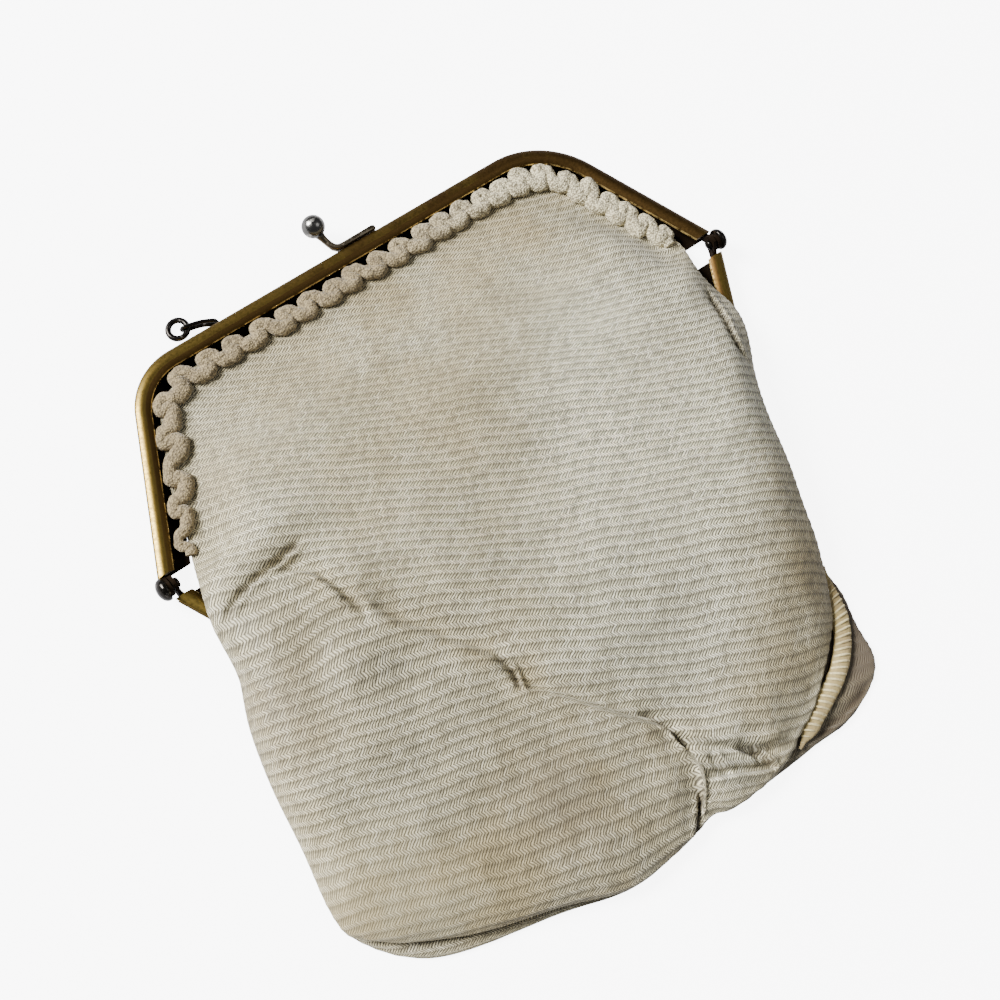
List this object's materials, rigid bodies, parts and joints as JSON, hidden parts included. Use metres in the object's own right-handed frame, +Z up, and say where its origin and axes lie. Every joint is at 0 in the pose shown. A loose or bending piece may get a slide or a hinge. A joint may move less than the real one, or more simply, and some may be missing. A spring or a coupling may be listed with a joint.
{
  "type": "clasp-frame evening purse",
  "caption": "Small evening purse lying with its hinged brass clasp frame opened flat and its ribbed silk lining pouch turned inside out, with a ball clasp, ruched trim and a chain ring.",
  "frame": {"origin": "on the surface below, under the middle of the bounding box", "axes": "X along the frame's hinge line, +Y from the pouch towards the bar with the ball clasp, +Z up"},
  "size_m": [0.1796, 0.176, 0.0148],
  "materials": {
    "gilt_brass": "aged gilt, tarnished brown in streaks",
    "blackened_steel": "dark, worn",
    "nickel": "worn bright plating",
    "ruched_silk": "matt gathered silk",
    "ribbed_silk": "cream herringbone rib with a faint sheen",
    "seam_tape": "matt stitched tape"
  },
  "bodies": {
    "root": {"frame_front": "gilt_brass", "frame_back": "gilt_brass", "hinge_rivet_left": "blackened_steel", "hinge_rivet_right": "blackened_steel", "clasp_front": "nickel", "clasp_back": "nickel", "chain_eye": "blackened_steel", "chain_ring": "nickel", "trim_ruching": "ruched_silk", "panel_front": "ribbed_silk", "panel_back": "ribbed_silk", "side_seam": "seam_tape"}
  },
  "joints": []
}
